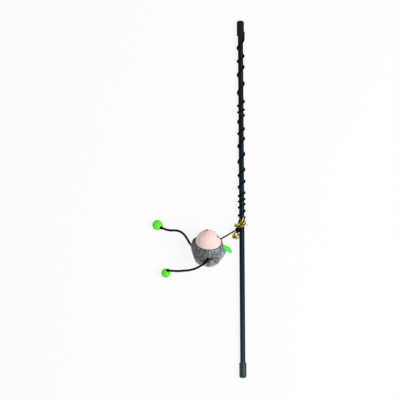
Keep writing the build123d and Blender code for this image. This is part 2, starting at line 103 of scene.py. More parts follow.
# The ball's outline over the table: (degrees from the part's x axis, radius)
OUTLINE = np.array([
    (-4.8, 20.1), (16.9, 17.7), (30.1, 18.7), (60, 19.2), (115, 19.4), (134.6, 20.4), (147.6, 21.5),
    (157.5, 20.7), (169.8, 19.8), (182.7, 18.9), (199.3, 18.4), (213.9, 18.8), (226, 19.7), (236.1, 19.4),
    (256.2, 18.9), (270, 19.4), (283.2, 19.3), (297.6, 19.0), (310.4, 18.7), (321.7, 18.3), (333.3, 18.5),
    (348.7, 19.9)])
# The waist's line on the ball: place along the part's x and y axes, as shares of the ball's radius
WAIST = np.array([(-0.82, -0.43), (-0.48, -0.61), (-0.26, -0.57), (-0.07, -0.54), (0.18, -0.53),
                  (0.35, -0.52), (0.55, -0.49), (0.75, -0.42), (0.98, -0.3)])
WAIST_WIDTH, WAIST_DEPTH = 0.08, 1.7
TUCK_END = (-0.05, -0.97, 0.12)
TUCK_WIDTH, TUCK_REACH, TUCK_DEPTH = 4.4, 55, 2.0
# Spots on the ball: direction in the part's frame, rise and width in degrees, for its form and for its
# painted light and shade
LOBES = [((0.36, -0.80, 0.46), 1.2, 16), ((-0.42, -0.78, 0.44), 0.8, 15), ((0.35, -0.2, 0.92), 0.4, 20),
         ((-0.5, 0.05, 0.86), 0.4, 18)]
# Painted light where the rise is above 0, painted shade where it is below 0, one spot the ear's shadow
PAINTED_LIGHT_SPOTS = [((0.9, -0.25, 0.35), 0.22, 24), ((-0.54, -0.75, 0.38), 0.5, 14),
              ((0.74, -0.05, 0.67), -0.35, 10), ((0.56, -0.63, 0.54), -0.2, 14),
              ((-0.46, -0.36, 0.81), -0.1, 14)]
# Spots round each leg's root: rise and width in degrees
ROOT_SPOTS = ((-1.2, 8), (0.3, 20))
# Pleats under the seam: their rise, their fade, and their painted light on the ridges and painted shade in
# the grooves
GATHER_RISE, GATHER_FADE, GATHER_PAINTED_SHADING = 0.3, 7, 0.22
UNEVEN_RISE, SLACK = 0.2, 0.25
# Painted light and shade on the grey cloth: its middle, the painted light from the right and below the waist,
# the painted shade in the folds, and the painted light and shade by the seam
TONE_MIDDLE, TONE_LIT, PAINTED_LIGHT_BELOW, PAINTED_LIGHT_BELOW_LIT = 0.47, 0.15, 0.375, 0.05
PAINTED_SHADE_WAIST, PAINTED_SHADE_TUCK = 0.52, 0.5
SEAM_PAINTED_LIGHT, SEAM_PAINTED_SHADE, SEAM_FADE = 0.28, 0.03, 9

# Ears
EAR_POLAR, EAR_SPREAD = SEAM_POLAR + 12.5, 44.0
EAR_HALF, EAR_FOOT_HALF, EAR_LENGTH = 4.5, 2.2, 12.6
FELT_HALF = 0.62
EARS = (("left", -1, 20.0), ("right", 1, -4.0))

# Legs: each root as polar and roll, each route beside the body's centre and over the table
LEG_R = 1.3
LEG_IN, LEG_OUT, LEG_END_SHORT = 1.5, 1.6, 1.25
LEG_LEFT_SEAT = (86.0, -118.5)
LEG_LEFT_ROUTE = [(-6.3, -16.2, 35.1), (-11.4, -19.4, 28.1), (-16.6, -21.8, 18.1), (-22.0, -23.1, 8.1),
                  (-28.7, -23.6, 5.4), (-36.0, -24.1, 8.8), (-45.8, -23.1, 9.2)]
LEG_RIGHT_SEAT = (108.0, 114.0)
LEG_RIGHT_ROUTE = [(-20.0, 5.4, 2.5), (-25.7, 16.0, 1.5), (-30.5, 20.6, 1.4), (-36.6, 22.5, 2.6),
                   (-45.6, 22.1, 7.4), (-53.1, 25.4, 9.3)]
FOOT_KNOT_SIZE, FOOT_CORD_R = 1.95, 0.8

# Pompoms: radius, and degrees over the table from the knot; core, roots and bend are shares of the radius
POMPOM_LEFT, POMPOM_RIGHT = (5.1, -130.0), (5.8, 144.0)
POMPOM_TO_KNOT, POMPOM_LIFT = 0.4, 0.1
POMPOM_CORE, POMPOM_ROOTS, POMPOM_BEND = 0.9, 0.84, 0.07
POMPOM_STRANDS, POMPOM_STRAND_R = 3000, 0.1
KNOT_PARTING = 26.0
FUZZ_STRANDS, FUZZ_R = 5200, 0.05
FUZZ_OVER_TABLE, FUZZ_UNDER_SEAM = 0.9, 2
STRAND_LOWEST = FLOOR + 0.08


# Places and directions


def unit(v):
    """Vectors of length 1, along the last axis."""
    v = np.asarray(v, float)
    return v / np.maximum(np.linalg.norm(v, axis=-1, keepdims=True), 1e-12)


NOSE_AXIS = np.array([math.sin(NOSE_LEAN) * math.cos(NOSE_RISE),
                      math.cos(NOSE_LEAN) * math.cos(NOSE_RISE), math.sin(NOSE_RISE)])
MOUSE_SIDE = unit(np.cross(NOSE_AXIS, UP))
MOUSE_NEAR = np.cross(MOUSE_SIDE, NOSE_AXIS)
MOUSE_BACK = MOUSE_SIDE * math.sin(BACK_ROLL) + MOUSE_NEAR * math.cos(BACK_ROLL)
MOUSE_RIGHT = np.cross(NOSE_AXIS, MOUSE_BACK)
MOUSE = np.stack([MOUSE_BACK, MOUSE_RIGHT, NOSE_AXIS])


def on_mouse(local):
    """Points of the mouse's own frame, in the part's frame."""
    return BODY + np.asarray(local, float) @ MOUSE


def from_world(vector):
    """A direction of the part's frame in the mouse's frame."""
    return unit(MOUSE @ np.asarray(vector, float))


def beside_body(points):
    """Points given beside the body's centre and over the table, in the part's frame."""
    return np.asarray(points, float) + (BODY[0], BODY[1], FLOOR)


def way_out(polar, roll):
    """Unit vectors in the mouse's frame: polar from the nose, roll from the back to its right, degrees."""
    p, r = np.radians(polar), np.radians(roll)
    return np.stack(np.broadcast_arrays(np.sin(p) * np.cos(r), np.sin(p) * np.sin(r), np.cos(p)), -1)


def angles(direction):
    """The polar angle and the roll of directions, in degrees, as way_out() takes them."""
    polar = np.degrees(np.arccos(np.clip(direction[..., 2], -1, 1)))
    return polar, np.degrees(np.arctan2(direction[..., 1], direction[..., 0]))


NAPE_WAY = way_out(NAPE_POLAR, NAPE_ROLL)
NAPE = on_mouse(NAPE_WAY * (BODY_R + NAPE_OUT))


def ball_ways(rings, around):
    """A grid of directions over a ball, from its lower end to its upper end."""
    return way_out(np.linspace(176, 4, rings)[:, None], np.linspace(0, 360, around, endpoint=False)[None])


def hump(value, middle, width, power=2):
    """A soft hump: 1 at the middle, falling off over the width."""
    return np.exp(-((value - middle) / width) ** power)


def near(direction, way, width):
    """A soft hump in direction space, 1 at the given way, over a width in degrees."""
    return hump(np.degrees(np.arccos(np.clip(direction @ way, -1, 1))), 0, width)


def spots(direction, places):
    """The sum of soft spots, each with its direction in the part's frame, its rise and its width."""
    return sum(rise * near(direction, from_world(way), width) for way, rise, width in places)


def great_arc(direction, a, b):
    """Angle in degrees from each direction to the arc between the directions a and b."""
    side = unit(np.cross(a, b))
    lift = direction @ side
    flat = unit(direction - lift[..., None] * side)
    inside = (np.cross(a, flat) @ side > 0) & (np.cross(flat, b) @ side > 0)
    beside_arc = np.abs(np.arcsin(np.clip(lift, -1, 1)))
    past_an_end = np.arccos(np.clip(np.maximum(direction @ a, direction @ b), -1, 1))
    return np.degrees(np.where(inside, beside_arc, past_an_end))


def seam_polar(roll):
    """The seam's polar angle at a roll: a circle that sags on one side."""
    return SEAM_POLAR + SEAM_SAG * hump((roll - SAG_ROLL + 180) % 360 - 180, 0, SAG_WIDTH)


def seam_shift(roll):
    """How far out and how far up the sagging seam lies from a level one."""
    polar = np.radians(seam_polar(roll))
    level = math.radians(SEAM_POLAR)
    return BODY_R * (np.sin(polar) - math.sin(level)), BODY_R * (np.cos(polar) - math.cos(level))


def run(lines):
    """How far along its line each point lies, for lines (…, n, 3)."""
    return np.linalg.norm(np.diff(lines, axis=-2, prepend=lines[..., :1, :]), axis=-1).cumsum(-1)


# Meshes


def link(name, mesh, material):
    """A new object of the mesh, smooth, with its material."""
    mesh.polygons.foreach_set("use_smooth", np.ones(len(mesh.polygons), bool))
    mesh.materials.append(material)
    piece = bpy.data.objects.new(name, mesh)
    bpy.context.scene.collection.objects.link(piece)
    return piece


def skins(name, material, rings, starts, ends, along):
    """Closed skins: shape (count, n, m, 3) holds n rings of m points for each; the first ring closes in
    a fan on its start point and the last on its end point. UV is the share round the ring and `along`."""
    count, n, m, _ = rings.shape
    points = np.concatenate([rings.reshape(count, n * m, 3), starts[:, None], ends[:, None]], 1)
    i, j = (grid.reshape(-1, 1) for grid in np.mgrid[:n - 1, :m])
    rows, columns = i + (0, 0, 1, 1), j + (0, 1, 1, 0)
    quads = rows * m + columns % m
    a = np.arange(m)[:, None]
    first = np.concatenate([a * 0 + n * m, (a + (1, 0)) % m], 1)
    last = np.concatenate([a * 0 + n * m + 1, (a + (0, 1)) % m + (n - 1) * m], 1)
    step = (np.arange(count) * (n * m + 2))[:, None, None]
    faces = []
    for corners in (quads, first, last):
        faces += (corners + step).reshape(-1, corners.shape[1]).tolist()
    along = np.broadcast_to(along, (count, n))
    fan_u = (a + (0.5, 1, 0)) / m
    us = [np.tile(u.ravel(), count) for u in (columns / m, fan_u, 1 - fan_u)]
    vs = [along[:, rows].ravel()] + [np.repeat(along[:, end], 3 * m) for end in (0, -1)]
    mesh = bpy.data.meshes.new(name)
    mesh.from_pydata((points.reshape(-1, 3) * MM).tolist(), [], faces)
    layer = mesh.uv_layers.new(name="UVMap")
    layer.data.foreach_set("uv", np.stack([np.concatenate(us), np.concatenate(vs)], -1).ravel())
    return link(name, mesh, material)


def skin(name, material, rings, start, end, along=None):
    """One closed skin of n rings of m points; `along` runs from 0 to 1 where it isn't given."""
    along = np.linspace(0, 1, len(rings)) if along is None else along
    return skins(name, material, rings[None], np.asarray(start)[None], np.asarray(end)[None], along)


def section_ways(lines, aside):
    """For lines (…, n, 3): two unit vectors square to the line, each (…, n, 1, 3), the first turned towards
    `aside`."""
    aside = np.broadcast_to(aside, lines.shape)
    way = unit(np.gradient(lines, axis=-2))
    first = unit(aside - way * np.sum(aside * way, -1, keepdims=True))
    return first[..., None, :], np.cross(way, first)[..., None, :]


def tubes(lines, radius, aside, around):
    """Round tubes, as skins() takes them: point = line + radius * (cos a * first + sin a * second), and
    each closes on its line's own ends."""
    first, second = section_ways(lines, aside)
    a = np.linspace(0, 2 * np.pi, around, endpoint=False)[:, None]
    radius = np.broadcast_to(radius, lines.shape[:-1])[..., None, None]
    rings = lines[..., None, :] + radius * (np.cos(a) * first + np.sin(a) * second)
    along = run(lines) / (2 * np.pi * np.max(radius))
    return {"rings": rings, "starts": lines[:, 0], "ends": lines[:, -1], "along": along}


def smooth_line(points, steps):
    """Points along the route's smooth spline, whose control points are the route's own points."""
    curve = bpy.data.curves.new("route", "CURVE")
    curve.dimensions = "3D"
    curve.resolution_u = steps
    spline = curve.splines.new("NURBS")
    spline.points.add(len(points) - 1)
    spline.points.foreach_set("co", np.c_[points, np.ones(len(points))].ravel())
    spline.order_u = 3
    spline.use_endpoint_u = True
    holder = bpy.data.objects.new("route", curve)
    mesh = bpy.data.meshes.new_from_object(holder)
    line = np.empty(len(mesh.vertices) * 3)
    mesh.vertices.foreach_get("co", line)
    bpy.data.objects.remove(holder)
    bpy.data.curves.remove(curve)
    bpy.data.meshes.remove(mesh)
    return line.reshape(-1, 3)


# Nodes


def tint(red, green, blue):
    """A colour written as on screen, for a socket."""
    c = np.array([red, green, blue]) / 255
    c = np.where(c <= 0.04045, c / 12.92, ((c + 0.055) / 1.055) ** 2.4)
    return (*c.tolist(), 1.0)


WHITE = tint(255, 255, 255)


def put(tree, kind, settings=None, **inputs):
    """A node with its settings; an input goes by its name, or by i and its number, and is a value or the
    socket that feeds it."""
    node = tree.nodes.new(kind)
    for key, value in (settings or {}).items():
        setattr(node, key, value)
    for key, value in inputs.items():
        numbered = key[0] == "i" and key[1:].isdigit()
        socket = node.inputs[int(key[1:]) if numbered else key.replace("_", " ")]
        if isinstance(value, bpy.types.NodeSocket):
            tree.links.new(value, socket)
        else:
            socket.default_value = value
    return node


def reckon(tree, operation, *values):
    """A Math node's result."""
    inputs = {f"i{n}": value for n, value in enumerate(values)}
    return put(tree, "ShaderNodeMath", {"operation": operation}, **inputs).outputs[0]


def wave(tree, value, rate):
    """A sine wave from 0 to 1 over the value times the rate."""
    return reckon(tree, "MULTIPLY_ADD", reckon(tree, "SINE", reckon(tree, "MULTIPLY", value, rate)), 0.5, 0.5)


def noise(tree, place, scale, **settings):
    """A noise texture's value."""
    return put(tree, "ShaderNodeTexNoise", Vector=place, Scale=scale, **settings).outputs["Fac"]


def drawn_out(tree, place, factors):
    """A place with each of its axes times its own factor."""
    return put(tree, "ShaderNodeVectorMath", {"operation": "MULTIPLY"}, i0=place, i1=factors).outputs[0]


def span(tree, value, low, high, start=0.0, end=1.0):
    """A value carried over from the span of low to high to the span of start to end."""
    limits = {"From_Min": low, "From_Max": high, "To_Min": start, "To_Max": end}
    return put(tree, "ShaderNodeMapRange", Value=value, **limits).outputs[0]


def ramp(tree, fac, *stops):
    """A colour ramp through (place, colour) stops."""
    node = put(tree, "ShaderNodeValToRGB", Fac=fac)
    band = node.color_ramp
    band.elements[0].position, band.elements[0].color = stops[0]
    band.elements[1].position, band.elements[1].color = stops[-1]
    for place, colour in stops[1:-1]:
        band.elements.new(place).color = colour
    return node.outputs["Color"]


def blend_colours(tree, mode, fac, a, b):
    """Two colours blended in a mode."""
    node = put(tree, "ShaderNodeMix", {"data_type": "RGBA", "blend_type": mode}, i0=fac, i6=a, i7=b)
    return node.outputs[2]


def place_of(tree):
    """The place on the piece, in metres of the part's frame."""
    return put(tree, "ShaderNodeTexCoord").outputs["Object"]


def uv_of(tree):
    """The piece's UV, with its share round the piece and its run along it."""
    uv = put(tree, "ShaderNodeUVMap", {"uv_map": "UVMap"}).outputs[0]
    split = put(tree, "ShaderNodeSeparateXYZ", Vector=uv).outputs
    return uv, split["X"], split["Y"]


def new_group(name, ins, outs):
    """A shader node group with its named sockets."""
    tree = bpy.data.node_groups.new(name, "ShaderNodeTree")
    for label, kind, value in ins:
        socket = tree.interface.new_socket(label, in_out="INPUT", socket_type="NodeSocket" + kind)
        if value is not None:
            socket.default_value = value
    for label, kind in outs:
        tree.interface.new_socket(label, in_out="OUTPUT", socket_type="NodeSocket" + kind)
    return tree, tree.nodes.new("NodeGroupInput").outputs, tree.nodes.new("NodeGroupOutput").inputs


def use_group(tree, group, **inputs):
    """A node group's outputs, with its inputs fed."""
    return put(tree, "ShaderNodeGroup", {"node_tree": group}, **inputs).outputs


def flecks_group():
    """Mixed fibres: two noises, one drawn out into hairs, pick between a dark, a middle and a pale yarn."""
    tree, given, out = new_group(
        "mixed_fibres",
        [("Place", "Vector", None), ("Scale", "Float", 500.0), ("Hairs", "Float", 0.55),
         ("Dark", "Color", None), ("Middle", "Color", None), ("Pale", "Color", None)],
        [("Colour", "Color"), ("Height", "Float")])
    clumps = noise(tree, given["Place"], given["Scale"], Detail=4.0, Roughness=0.65)
    fine = reckon(tree, "MULTIPLY", given["Scale"], 2.7)
    hairs = noise(tree, drawn_out(tree, given["Place"], (1.0, 0.35, 2.2)), fine, Detail=3.0, Roughness=0.7,
                  Distortion=0.6)
    mixed = reckon(tree, "MULTIPLY_ADD", reckon(tree, "SUBTRACT", hairs, clumps), given["Hairs"], clumps)
    dark = blend_colours(tree, "MIX", span(tree, mixed, 0.4, 0.5), given["Dark"], given["Middle"])
    pale = blend_colours(tree, "MIX", span(tree, mixed, 0.5, 0.62), dark, given["Pale"])
    tree.links.new(pale, out["Colour"])
    tree.links.new(mixed, out["Height"])
    return tree


def braid_group():
    """Braided cover of a cord: two sets of slanted ribs on the cord's UV, over and under each other."""
    tree, given, out = new_group(
        "braided_cover",
        [("Ribs", "Float", 8.0), ("Slant", "Float", 3.0)],
        [("Height", "Float"), ("Wear", "Float")])
    uv, turn, along = uv_of(tree)
    ribs = []
    for way in (1.0, -1.0):
        lean = reckon(tree, "MULTIPLY", reckon(tree, "MULTIPLY", along, given["Slant"]), way)
        ribs.append(wave(tree, reckon(tree, "MULTIPLY_ADD", turn, given["Ribs"], lean), math.tau))
    height = reckon(tree, "MAXIMUM", *ribs)
    tree.links.new(height, out["Height"])
    tree.links.new(reckon(tree, "MULTIPLY", height, noise(tree, uv, 9.0, Detail=3.0)), out["Wear"])
    return tree


def handled_group():
    """Handled surface: cloudy dullness with fine scratches, as a mask and a height."""
    tree, given, out = new_group(
        "handled_surface",
        [("Place", "Vector", None), ("Cloud", "Float", 120.0), ("Scratch", "Float", 900.0)],
        [("Dullness", "Float"), ("Height", "Float")])
    cloud = noise(tree, given["Place"], given["Cloud"], Detail=5.0, Roughness=0.6)
    scratches = noise(tree, drawn_out(tree, given["Place"], (1.0, 0.12, 1.0)), given["Scratch"], Detail=2.0,
                      Roughness=0.8)
    dullness = reckon(tree, "MULTIPLY_ADD", scratches, 0.4, reckon(tree, "MULTIPLY", cloud, 0.6))
    tree.links.new(dullness, out["Dullness"])
    tree.links.new(scratches, out["Height"])
    return tree


MIXED_FIBRES = flecks_group()
BRAIDED_COVER = braid_group()
HANDLED = handled_group()


# Materials


def finish_of(name, **sockets):
    """A material with one shader and its plain values."""
    material = bpy.data.materials.new(name)
    material.use_nodes = True
    tree = material.node_tree
    shader = tree.nodes["Principled BSDF"]
    for key, value in sockets.items():
        shader.inputs[key.replace("_", " ")].default_value = value
    return material, tree, shader


def raise_bump(tree, shader, height, strength, depth):
    """Lets a height raise the shader's surface by a depth in metres."""
    bump = put(tree, "ShaderNodeBump", Height=height, Strength=strength, Distance=depth)
    tree.links.new(bump.outputs[0], shader.inputs["Normal"])


def fabric(name, scale, yarns, depth, shades=None, hairs=0.55, bump=0.8, rough=0.9, sheen=0.3,
           sheen_rough=0.5, gloss=0.15):
    """A fabric of fibres in a dark, a middle and a pale yarn, with a soft sheen; `shades` makes the colours
    that tone it."""
    material, tree, shader = finish_of(name, Roughness=rough, Sheen_Weight=sheen, Sheen_Roughness=sheen_rough,
                                       Specular_IOR_Level=gloss)
    dark, middle, pale = (tint(*colour) for colour in yarns)
    got = use_group(tree, MIXED_FIBRES, Place=place_of(tree), Scale=scale, Hairs=hairs, Dark=dark,
                    Middle=middle, Pale=pale)
    colour = got["Colour"]
    for shade in shades(tree) if shades else ():
        colour = blend_colours(tree, "MULTIPLY", 1.0, colour, shade)
    tree.links.new(colour, shader.inputs["Base Color"])
    raise_bump(tree, shader, got["Height"], bump, depth)
    return material


def blush(tree):
    """Pink fleece: peach at the hem, pinker towards the nose, with faint rings of painted shade along the
    knit's courses.
    """
    _, _, along = uv_of(tree)
    patches = noise(tree, place_of(tree), 90.0, Detail=3.0)
    spread = reckon(tree, "MULTIPLY_ADD", patches, 0.3, reckon(tree, "ADD", along, -0.15))
    pink = ramp(tree, spread, (0.05, tint(245, 225, 218)), (0.5, tint(249, 228, 221)),
                (0.8, tint(252, 211, 209)), (0.95, tint(250, 190, 196)))
    return pink, ramp(tree, wave(tree, along, 70.0), (0.0, tint(247, 243, 241)), (1.0, WHITE))


def heather_painted_shading(tree):
    """Grey heather knit with painted light and shade from the ball's own values: painted shade in its folds,
    painted light on its full lobes.
    """
    painted_light_and_shade = put(tree, "ShaderNodeAttribute", {"attribute_name": "painted_light_and_shade"}).outputs["Fac"]
    patches = noise(tree, place_of(tree), 150.0, Detail=3.0, Roughness=0.6)
    uneven = reckon(tree, "MULTIPLY_ADD", reckon(tree, "SUBTRACT", patches, 0.5), 0.9, painted_light_and_shade)
    return [ramp(tree, uneven, (0.0, tint(76, 82, 83)), (0.5, tint(153, 157, 159)), (1.0, WHITE))]


def leaf_green(tree):
    """Green felt, brightest down the middle of the leaf with painted light, darker where it cups with painted
    shade, and pale at the cut edge.
    """
    _, turn, _ = uv_of(tree)
    across = reckon(tree, "ABSOLUTE", reckon(tree, "COSINE", reckon(tree, "MULTIPLY", turn, math.tau)))
    return [ramp(tree, across, (0.1, tint(84, 252, 74)), (0.5, tint(44, 212, 42)), (0.8, tint(48, 214, 48)),
                 (0.97, tint(150, 246, 138)))]


def cord_cover(name, dark, pale, ribs, slant, depth):
    """A braided cord's cover, paler where its ribs are rubbed."""
    material, tree, shader = finish_of(name, Roughness=0.65, Specular_IOR_Level=0.05)
    got = use_group(tree, BRAIDED_COVER, Ribs=ribs, Slant=slant)
    rubbed = ramp(tree, got["Wear"], (0.15, tint(*dark)), (0.75, tint(*pale)))
    tree.links.new(rubbed, shader.inputs["Base Color"])
    raise_bump(tree, shader, got["Height"], 0.7, depth)
    return material


def hard(name, dark, pale, rough, cloud, scratch, depth, painted_falloff=(), **sockets):
    """A hard surface, dulled and scratched by handling; stops along its length paint light falling off from
    handle to tip.
    """
    fresh, dulled = 0.3, 0.7
    material, tree, shader = finish_of(name, **sockets)
    place = place_of(tree)
    got = use_group(tree, HANDLED, Place=place, Cloud=cloud, Scratch=scratch)
    colour = ramp(tree, got["Dullness"], (fresh, tint(*dark)), (dulled, tint(*pale)))
    if painted_falloff:
        along = put(tree, "ShaderNodeSeparateXYZ", Vector=place).outputs["Y"]
        share = span(tree, along, 0.0, ROD_LENGTH * MM)
        falloff_tint = ramp(tree, share, *((stop, tint(*rgb)) for stop, rgb in painted_falloff))
        colour = blend_colours(tree, "MULTIPLY", 1.0, colour, falloff_tint)
    tree.links.new(colour, shader.inputs["Base Color"])
    tree.links.new(span(tree, got["Dullness"], fresh, dulled, *rough), shader.inputs["Roughness"])
    raise_bump(tree, shader, got["Height"], 0.3, depth)
    return material


def yarn(name, root, middle, tip, sheen):
    """Cut yarn: painted shade at the root and painted light at the tip of each strand, on its own UV."""
    material, tree, shader = finish_of(name, Roughness=0.9, Sheen_Weight=sheen, Specular_IOR_Level=0.06)
    _, _, along = uv_of(tree)
    clumps = noise(tree, place_of(tree), 420.0, Detail=3.0)
    mixed = reckon(tree, "MULTIPLY_ADD", clumps, 0.3, reckon(tree, "MULTIPLY_ADD", along, 0.75, -0.1))
    strand = ramp(tree, mixed, (0.1, tint(*root)), (0.45, tint(*middle)), (0.85, tint(*tip)))
    tree.links.new(strand, shader.inputs["Base Color"])
    return material


# The rod's painted light from the handle to the tip, falling off towards the tip: share of its length and
# tint
SLATE_PAINTED_FALLOFF = [(0.07, (34, 55, 64)), (0.27, (18, 34, 41)), (0.45, (13, 26, 32)), (0.65, (7, 18, 26))]
CAP_WEAR = {"cloud": 200.0, "scratch": 900.0, "depth": 0.00005}
FOIL_WEAR = {"cloud": 800.0, "scratch": 2600.0, "depth": 0.0001}
SLATE = hard("slate_plastic", (212, 212, 212), (255, 255, 255), rough=(0.3, 0.46), cloud=60.0, scratch=1400.0,
             depth=0.00004, painted_falloff=SLATE_PAINTED_FALLOFF, Specular_IOR_Level=0.08)
# One vinyl for both caps: the tip cap is its copy in painted shade, the handle cap its lit copy
TIP_CAP = hard("tip_cap_painted_shade", (5, 17, 21), (16, 29, 33), rough=(0.4, 0.58), Specular_IOR_Level=0.07, **CAP_WEAR)
HANDLE_CAP = hard("handle_cap_painted_light", (14, 35, 41), (31, 53, 59), rough=(0.26, 0.4), Specular_IOR_Level=0.28,
                  **CAP_WEAR)
BRASS = hard("bell_brass", (192, 167, 98), (250, 236, 182), rough=(0.12, 0.3), cloud=260.0, scratch=1500.0,
             depth=0.00003, Metallic=1.0)
# One gold foil in three copies: lit gold with its painted highlights, one in painted half shade, one in full
# painted shade
GOLD_FOIL = hard("gold_foil", (124, 105, 40), (234, 216, 130), rough=(0.16, 0.36), Metallic=0.9, **FOIL_WEAR)
HALF_SHADED_FOIL = hard("foil_in_painted_half_shade", (44, 37, 4), (122, 110, 40), rough=(0.2, 0.42), Metallic=0.88, **FOIL_WEAR)
DARK_FOIL = hard("foil_in_shade", (26, 16, 2), (74, 58, 16), rough=(0.25, 0.5), Metallic=0.8, **FOIL_WEAR)
STEEL = hard("pellet_steel", (120, 120, 120), (170, 170, 170), rough=(0.3, 0.5), cloud=400.0, scratch=1500.0,
             depth=0.00002, Metallic=1.0)
EYE_BEAD = hard("eye_bead", (12, 10, 12), (26, 22, 24), rough=(0.06, 0.14), cloud=300.0, scratch=900.0,
                depth=0.00001, Coat_Weight=0.6)
ELASTIC = cord_cover("black_elastic", (2, 3, 4), (11, 14, 16), ribs=9.0, slant=1.0, depth=0.0001)
LEG_CORD = cord_cover("leg_cord", (2, 4, 4), (13, 17, 18), ribs=10.0, slant=0.8, depth=0.00012)
HEATHER = fabric("heather_cloth", 430.0, [(71, 82, 85), (170, 178, 181), (250, 252, 252)], depth=0.0007,
                 shades=heather_painted_shading, hairs=0.4, rough=0.92, sheen=0.45, sheen_rough=0.45, gloss=0.12)
PINK = fabric("pink_fleece", 900.0, [(236, 226, 224), (252, 249, 248), (255, 255, 255)], depth=0.0002,
              shades=blush, bump=0.6, rough=0.92, gloss=0.12)
FELT = fabric("green_felt", 900.0, [(214, 226, 214), (246, 252, 246), (255, 255, 255)], depth=0.0003,
              shades=leaf_green)
NOSE_THREAD = fabric("nose_thread", 1500.0, [(128, 86, 98), (160, 120, 130), (190, 154, 160)], depth=0.0002,
                     sheen=0.2)
SEAM_THREAD = fabric("seam_thread", 1800.0, [(52, 44, 48), (92, 80, 84), (134, 122, 122)], depth=0.0001,
                     sheen=0.2)
LIME_YARN = yarn("lime_yarn", (104, 255, 48), (120, 255, 62), (186, 255, 152), sheen=0.06)
GREY_FUZZ = yarn("grey_fuzz", (70, 80, 84), (134, 142, 146), (214, 219, 219), sheen=0.25)
SOLID_LOOKS = {"rod": SLATE, "tip_cap": TIP_CAP, "handle_cap": HANDLE_CAP, "bell_shell": BRASS,
               "bell_eye": BRASS, "bell_pellet": STEEL, "eye_left": EYE_BEAD, "eye_right": EYE_BEAD}


# Wand


def wound_elastic():
    """The winding: point = (R cos t, y(t), R sin t) over the turns t, with the pitch of each turn, from
    under the tip's cap to the knot; what would lie under the table is pressed flat on it."""
    turns = np.arange(1, POINTS_A_TURN * WRAP_END_TURN - 1) / POINTS_A_TURN
    dropped = np.interp(turns, np.arange(WRAP_TURNS + 1), np.concatenate([[0], np.cumsum(PITCHES)]))
    dropped += np.maximum(turns - WRAP_TURNS, 0) * PITCHES[-1] + DIP * hump(turns, DIP_TURN, DIP_WIDTH)
    angle = 2 * np.pi * turns
    helix = np.stack([WRAP_R * np.cos(angle), WRAP_START - dropped, WRAP_R * np.sin(angle)], -1)
    top = [(WRAP_R, TIP_MOUTH_Y + y, 0) for y in BY_CAP]
    end = [CORD_BESIDE + (0, y, 0) for y in UNDER_TIE]
    line = smooth_line(np.concatenate([top, helix, end, [KNOT + KNOT_ENTRY, KNOT]]), 4)
    from_axis = line * (1, 0, 1)
    shape = tubes(line[None], ELASTIC_R, aside=from_axis[None], around=12)
    shape["rings"][..., 2] = np.maximum(shape["rings"][..., 2], PRESSED)
    return skins("wound_elastic", ELASTIC, **shape), line


def knotted(name, centre, size, radius, ways, material):
    """A drawn-up knot: a tube on the line ((R + r cos 5t) cos 2t, (R + r cos 5t) sin 2t, h sin 5t), along
    three ways whose lengths stretch it."""
    open_by = 0.05
    t = np.linspace(open_by, 2 * np.pi - open_by, 160)
    middle, swing, tall = (size - radius) * np.array([0.56, 0.44, 0.7])
    wide = middle + swing * np.cos(5 * t)
    loop = np.stack([wide * np.cos(2 * t), wide * np.sin(2 * t), tall * np.sin(5 * t)], -1)
    shape = tubes((centre + loop @ ways)[None], radius, aside=(0.31, 0.22, 0.92), around=12)
    return skins(name, material, **shape)


# Half the section of a foil strip with a wire down its middle, as shares of its half width and thickness
STRIP_HALF = np.array([(-1, 0), (-0.8, 0.45), (-0.3, 0.5), (-0.12, 0.8), (0, 1), (0.12, 0.8), (0.3, 0.5),
                       (0.8, 0.45)])
# Loose strips of the tie: four points beside its middle for each, and its roll in degrees at both ends
TIE_STRIPS = [
    ("tie_tails", GOLD_FOIL, 1.5, [
        ([(-1.6, -0.1, 0.5), (-4.0, 0.2, 0.7), (-6.2, 0.3, 0.4), (-8.6, 0.6, -0.2)], (25, 40)),
        ([(-1.4, -1.0, 0.3), (-4.0, -0.9, 0.2), (-6.4, -1.0, 0.0), (-8.5, -0.9, -0.5)], (-35, -20)),
        ([(-1.5, -3.1, -0.2), (1.0, -2.0, 0.9), (3.4, -1.6, 0.9), (6.6, -0.3, 0.2)], (20, 50))]),
    ("tie_bow", GOLD_FOIL, 1.25, [
        ([(-1.7, 1.5, 0.4), (0.3, 2.4, 0.9), (1.3, 5.0, 1.1), (2.1, 8.2, 0.7)], (40, 15)),
        # The loop's lower right side, in the lit foil for its painted highlight
        ([(1.0, 0.3, 0.8), (2.0, 0.9, 1.2), (2.9, 1.6, 1.3), (3.6, 2.5, 1.0)], (-20, 30))]),
    ("tie_bow_side", HALF_SHADED_FOIL, 1.9, [
        ([(4.2, 0.4, -0.6), (3.6, 2.4, 0.4), (2.5, 4.4, 0.6), (3.4, 8.0, 0.5)], (-30, -60)),
        ([(-2.8, 0.4, 0.2), (-0.6, 1.0, 0.7), (1.6, 0.2, 0.9), (4.0, 0.6, -0.4)], (10, -25))]),
    # Strips in painted shade: the shadow under the left tails and the shaded foil behind the bow
    ("tie_strips_in_painted_shade", DARK_FOIL, 1.9, [
        ([(-2.2, -1.5, -0.3), (-4.6, -1.8, -0.5), (-6.6, -2.0, -0.7), (-8.3, -1.9, -1.2)], (-10, 10)),
        ([(-1.2, 0.9, 0.0), (-1.7, 2.4, 0.2), (-1.5, 4.2, 0.3), (-0.4, 6.2, 0.2)], (15, 30))]),
]


def ribbons(name, lines, across, width, thickness, material):
    """Foil strips with a wire down the middle: the section is a flat lens with a ridge on both faces."""
    share, rise = np.concatenate([STRIP_HALF, -STRIP_HALF]).T[..., None]
    first, second = section_ways(lines, across)
    rings = lines[..., None, :] - first * share * width / 2 + second * rise * thickness / 2
    return skins(name, material, rings, lines[:, 0], lines[:, -1], run(lines))


